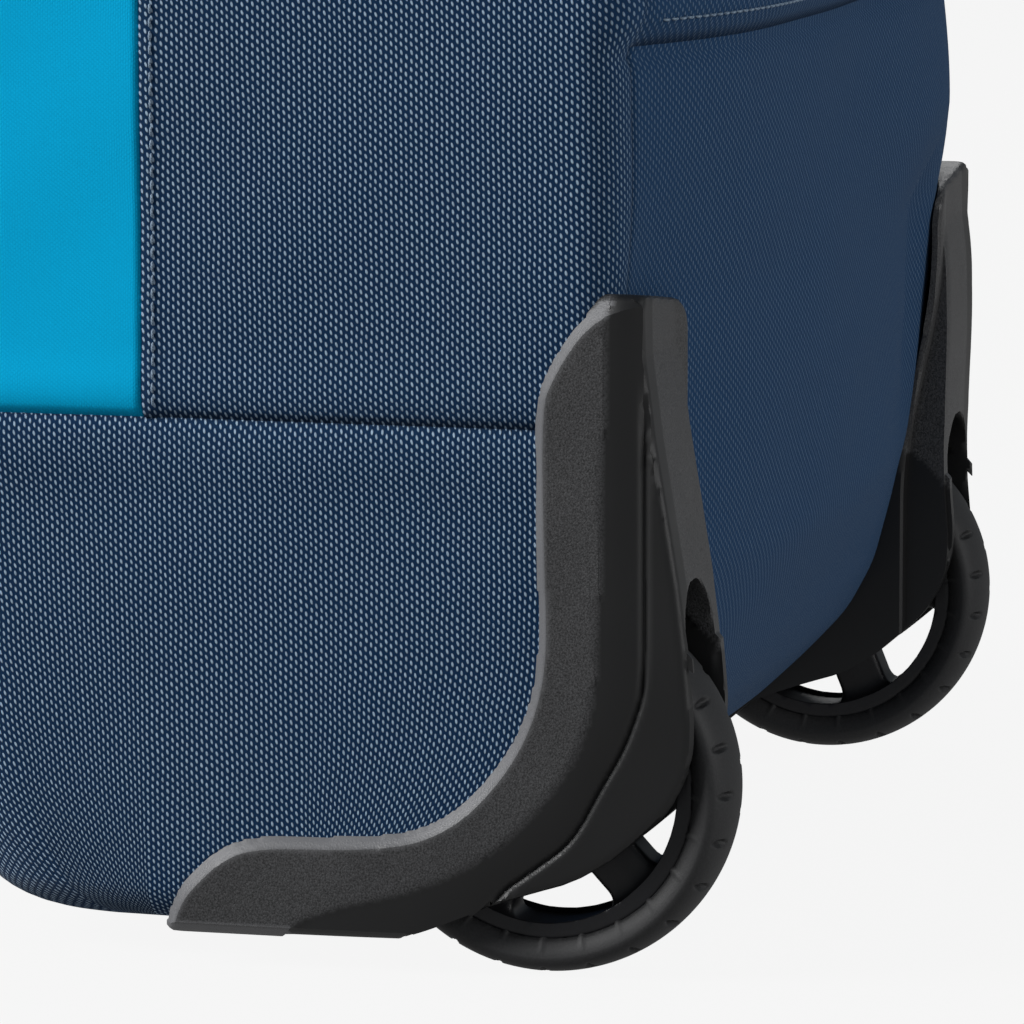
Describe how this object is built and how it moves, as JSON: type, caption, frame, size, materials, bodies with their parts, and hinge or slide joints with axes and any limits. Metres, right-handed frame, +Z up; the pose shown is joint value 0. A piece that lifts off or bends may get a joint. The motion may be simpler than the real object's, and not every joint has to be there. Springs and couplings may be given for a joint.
{
  "type": "cooler on wheels",
  "caption": "Soft-sided insulated cooler bag with a zipped lid, front pocket, two corner wheels in moulded guards and a telescoping pull handle.",
  "frame": {"origin": "centre of the footprint, on the floor", "axes": "+Z up, +Y to the back where the wheels and pull handle are, X along the wheel axles"},
  "size_m": [0.3908, 0.233, 0.4315],
  "materials": {
    "navy_fabric": "matt",
    "blue_fabric": "matt",
    "black_plastic": "moulded grain",
    "board_plastic": "smooth",
    "foam": "closed cell",
    "liner": "smooth",
    "zip_tape": "woven",
    "zip_teeth": "satin",
    "zip_metal": "satin",
    "webbing": "woven",
    "tyre": "matt",
    "rim_plastic": "satin",
    "steel": "satin",
    "tube": "satin anodised",
    "grip": "satin",
    "rubber": "matt"
  },
  "bodies": {
    "bag": {"outer_shell": "navy_fabric", "back_panel": "navy_fabric", "front_panel": "blue_fabric", "base_boot": "navy_fabric", "base_board": "board_plastic", "back_board": "board_plastic", "foam_floor": "foam", "foam_front": "foam", "foam_back": "foam", "foam_sides": "foam", "liner_tub": "liner", "front_pocket": "blue_fabric", "pocket_zip_tape": "zip_tape", "pocket_zip_teeth": "zip_teeth", "lid_zip_tape_lower": "zip_tape", "lid_zip_teeth_lower": "zip_teeth", "side_strap_left": "webbing", "side_strap_right": "webbing", "strap_wrap_left": "webbing", "strap_wrap_right": "webbing", "wheel_housing_left": "black_plastic", "wheel_housing_right": "black_plastic", "axle_left": "steel", "axle_right": "steel", "housing_screws": "steel", "front_feet": "rubber", "foot_screws": "steel", "handle_bezel": "black_plastic", "outer_tubes": "tube", "tube_feet": "black_plastic"},
    "wheel_left": {"tyre_left": "tyre", "rim_left": "rim_plastic", "bearings_left": "steel", "bearing_spacer_left": "steel"},
    "wheel_right": {"tyre_right": "tyre", "rim_right": "rim_plastic", "bearings_right": "steel", "bearing_spacer_right": "steel"},
    "middle_stage": {"middle_tubes": "tube", "tube_collars": "black_plastic"},
    "upper_stage": {"inner_tubes": "tube", "latch_plugs": "black_plastic", "grip_body": "grip", "grip_cap": "grip"},
    "release": {"release_button": "grip", "release_yoke": "grip", "push_rods": "steel"},
    "latch_left": {"latch_pin_left": "steel"},
    "latch_right": {"latch_pin_right": "steel"},
    "lid": {"lid_cover": "navy_fabric", "lid_foam": "foam", "lid_liner": "liner", "lid_zip_tape_upper": "zip_tape", "lid_zip_teeth_upper": "zip_teeth"},
    "lid_runner_left": {"lid_slider_left": "zip_metal"},
    "lid_runner_right": {"lid_slider_right": "zip_metal"},
    "lid_tab_left": {"lid_pull_left": "zip_metal"},
    "lid_tab_right": {"lid_pull_right": "zip_metal"},
    "pocket_runner": {"pocket_slider": "zip_metal"},
    "pocket_tab": {"pocket_pull": "zip_metal"}
  },
  "joints": [
    {"name": "wheel_left_spin", "type": "hinge", "parent": "bag", "child": "wheel_left", "pos_m": [-0.1565, 0.07155, 0.045], "axis": [1, 0, 0], "continuous": true},
    {"name": "wheel_right_spin", "type": "hinge", "parent": "bag", "child": "wheel_right", "pos_m": [0.1565, 0.07155, 0.045], "axis": [1, 0, 0], "continuous": true},
    {"name": "handle_middle_slide", "type": "slide", "parent": "bag", "child": "middle_stage", "axis": [0, 0, 1], "range_m": [0, 0.24]},
    {"name": "handle_upper_slide", "type": "slide", "parent": "middle_stage", "child": "upper_stage", "axis": [0, 0, 1], "range_m": [0, 0.24]},
    {"name": "release_press", "type": "slide", "parent": "upper_stage", "child": "release", "axis": [0, 0, -1], "range_m": [0, 0.003], "stiffness_N_per_m": 900, "springref_m": -0.002},
    {"name": "latch_left_slide", "type": "slide", "parent": "upper_stage", "child": "latch_left", "axis": [1, 0, 0], "range_m": [0, 0.003]},
    {"name": "latch_right_slide", "type": "slide", "parent": "upper_stage", "child": "latch_right", "axis": [-1, 0, 0], "range_m": [0, 0.003]},
    {"name": "lid_hinge", "type": "hinge", "parent": "bag", "child": "lid", "pos_m": [0, 0.07365, 0.43], "axis": [-1, 0, 0], "range_deg": [0, 92]},
    {"name": "lid_runner_left_slide", "type": "slide", "parent": "bag", "child": "lid_runner_left", "axis": [-1, 0, 0], "range_m": [0, 0.133]},
    {"name": "lid_runner_right_slide", "type": "slide", "parent": "bag", "child": "lid_runner_right", "axis": [1, 0, 0], "range_m": [0, 0.133]},
    {"name": "lid_tab_left_swing", "type": "hinge", "parent": "lid_runner_left", "child": "lid_tab_left", "pos_m": [-0.006, -0.09485, 0.392], "axis": [-1, 0, 0], "range_deg": [0, 150]},
    {"name": "lid_tab_right_swing", "type": "hinge", "parent": "lid_runner_right", "child": "lid_tab_right", "pos_m": [0.006, -0.09485, 0.392], "axis": [-1, 0, 0], "range_deg": [0, 150]},
    {"name": "pocket_runner_slide", "type": "slide", "parent": "bag", "child": "pocket_runner", "axis": [1, 0, 0], "range_m": [0, 0.23]},
    {"name": "pocket_tab_swing", "type": "hinge", "parent": "pocket_runner", "child": "pocket_tab", "pos_m": [-0.115, -0.11485, 0.311], "axis": [-1, 0, 0], "range_deg": [0, 150]}
  ],
  "couplings": [
    {"joint": "latch_left_slide", "follows": "release_press", "ratio": 1},
    {"joint": "latch_right_slide", "follows": "release_press", "ratio": 1}
  ]
}
